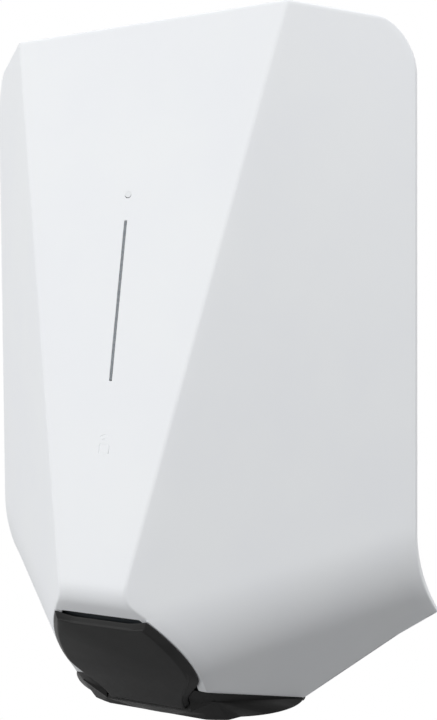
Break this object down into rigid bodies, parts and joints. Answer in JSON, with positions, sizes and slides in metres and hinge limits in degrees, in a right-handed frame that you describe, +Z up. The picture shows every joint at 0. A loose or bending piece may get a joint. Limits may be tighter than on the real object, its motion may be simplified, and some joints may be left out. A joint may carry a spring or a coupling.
{
  "type": "wall-mounted car charging station",
  "caption": "Faceted white wall charger for electric cars, with a light strip, a pull-off cover, a wall unit and a socket behind a black rubber flap.",
  "frame": {"origin": "middle of the four wall holes, on the wall plane at the back of the backplate", "axes": "+X to the right as seen from the front, +Y into the wall, +Z up"},
  "size_m": [0.1928, 0.1057, 0.256],
  "materials": {
    "white_cover": "matt white moulded plastic",
    "flap_rubber": "satin black moulded rubber",
    "black_rubber": "matt black rubber",
    "light_window": "smoked light guide",
    "grey_plastic": "light grey plastic",
    "unit_plastic": "dark grey plastic",
    "pale_plastic": "pale glass-filled plastic",
    "black_plastic": "black plastic",
    "screw_steel": "zinc-plated steel",
    "lock_steel": "ground steel",
    "contact_brass": "bare brass",
    "silver_plate": "silver-plated brass",
    "board_laminate": "green circuit board",
    "can_aluminium": "sleeved aluminium can",
    "ferrite": "ferrite core with wound coil",
    "led_white": "white light-emitting chips"
  },
  "bodies": {
    "wall_unit": {"backplate": "grey_plastic", "entry_grommets": "black_rubber", "terminal_block": "pale_plastic", "terminal_screws": "screw_steel", "terminal_cover": "pale_plastic", "plug_blades": "contact_brass", "unit_rear_housing": "unit_plastic", "unit_gasket": "black_rubber", "unit_front_housing": "unit_plastic", "unit_screws": "screw_steel", "main_board": "board_laminate", "board_screws": "screw_steel", "relays": "black_plastic", "capacitors": "can_aluminium", "transformer": "ferrite", "current_sensor": "black_plastic", "reader_antenna": "contact_brass", "led_board": "board_laminate", "led_chips": "led_white", "touch_pad": "contact_brass", "socket_housing": "unit_plastic", "socket_bracket": "unit_plastic", "socket_insert": "black_plastic", "power_contacts": "silver_plate", "signal_contacts": "silver_plate", "socket_seal": "black_rubber", "socket_screws": "screw_steel", "lock_housing": "black_plastic", "lock_motor": "screw_steel"},
    "cover": {"front_cover": "white_cover", "light_strip": "light_window", "touch_dot": "light_window", "bottom_cap": "flap_rubber"},
    "flap": {"socket_flap": "flap_rubber"},
    "lock_pin": {"lock_pin": "lock_steel"},
    "lock_gear": {"lock_gear": "lock_steel"}
  },
  "joints": [
    {"name": "cover_pull", "type": "slide", "parent": "wall_unit", "child": "cover", "axis": [0, -1, 0], "range_m": [0, 0.14]},
    {"name": "flap_hinge", "type": "hinge", "parent": "cover", "child": "flap", "pos_m": [0, -0.06594, -0.13628], "axis": [1, 0, 0], "range_deg": [0, 110]},
    {"name": "lock_pin_slide", "type": "slide", "parent": "wall_unit", "child": "lock_pin", "axis": [0, 0.6494, -0.7604], "range_m": [0, 0.0045]},
    {"name": "lock_gear_spin", "type": "hinge", "parent": "wall_unit", "child": "lock_gear", "pos_m": [0, -0.07935, -0.07014], "axis": [1, 0, 0], "range_deg": [0, 65]}
  ],
  "couplings": [
    {"joint": "lock_gear_spin", "follows": "lock_pin_slide", "rad_per_m": 250}
  ]
}
